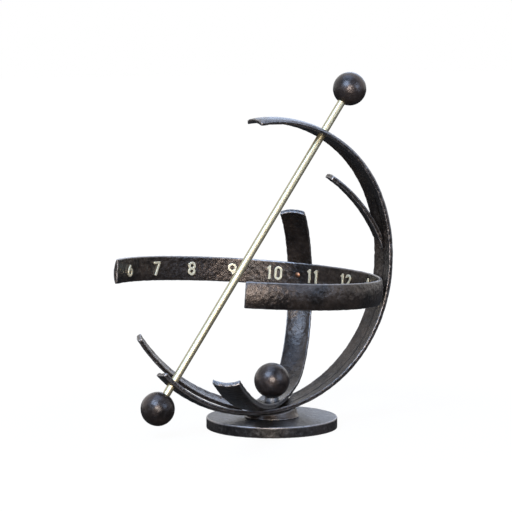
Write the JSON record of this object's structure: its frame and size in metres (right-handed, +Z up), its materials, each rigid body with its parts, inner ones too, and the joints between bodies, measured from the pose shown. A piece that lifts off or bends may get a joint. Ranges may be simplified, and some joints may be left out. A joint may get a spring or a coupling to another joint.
{
  "type": "sundial",
  "caption": "Table sundial of forged flat bar: a split meridian band, a cross band and an open hour ring with raised numerals, crossed by a ball-ended slanting rod, on a round base.",
  "frame": {"origin": "centre of the base's underside, on the table", "axes": "+X in the plane of the tall meridian band, towards its closed side; +Z up"},
  "size_m": [0.2747, 0.3461, 0.3561],
  "materials": {
    "patina": "dark brown hammered patina, semi-gloss lacquer",
    "patina_base": "dark brown patina, brushed top",
    "patina_ring": "warm brown patina, semi-gloss",
    "numeral_brass": "polished",
    "rod_brass": "polished, lightly tarnished",
    "washer_brass": "turned",
    "steel": "zinc plated",
    "copper": "hammered copper",
    "felt": "felt"
  },
  "bodies": {
    "base": {"base_plate": "patina_base", "base_pad": "felt"},
    "frame": {"bolt_washer": "steel", "centre_bolt": "steel", "thrust_washer": "washer_brass", "pedestal": "patina", "meridian_band": "patina", "upper_tine": "patina", "lower_tine": "patina", "cross_band": "patina", "ball_washer": "steel", "centre_ball": "patina", "hour_ring": "patina_ring", "ring_rivet": "copper", "ring_spacer": "patina", "numeral_06_morning": "numeral_brass", "numeral_07": "numeral_brass", "numeral_08": "numeral_brass", "numeral_09": "numeral_brass", "numeral_10": "numeral_brass", "numeral_11": "numeral_brass", "numeral_12": "numeral_brass", "numeral_01": "numeral_brass", "numeral_02": "numeral_brass", "numeral_03": "numeral_brass", "numeral_04": "numeral_brass", "numeral_05": "numeral_brass", "numeral_06_evening": "numeral_brass"},
    "gnomon": {"gnomon_rod": "rod_brass", "top_ball": "patina", "foot_ball": "patina"}
  },
  "joints": [
    {"name": "frame_turn", "type": "hinge", "parent": "base", "child": "frame", "pos_m": [0, 0, 0], "axis": [0, 0, 1], "continuous": true},
    {"name": "rod_turn", "type": "hinge", "parent": "frame", "child": "gnomon", "pos_m": [-0.11143, -0.0089, 0.05245], "axis": [0.568, 0.03, 0.8225], "continuous": true}
  ]
}
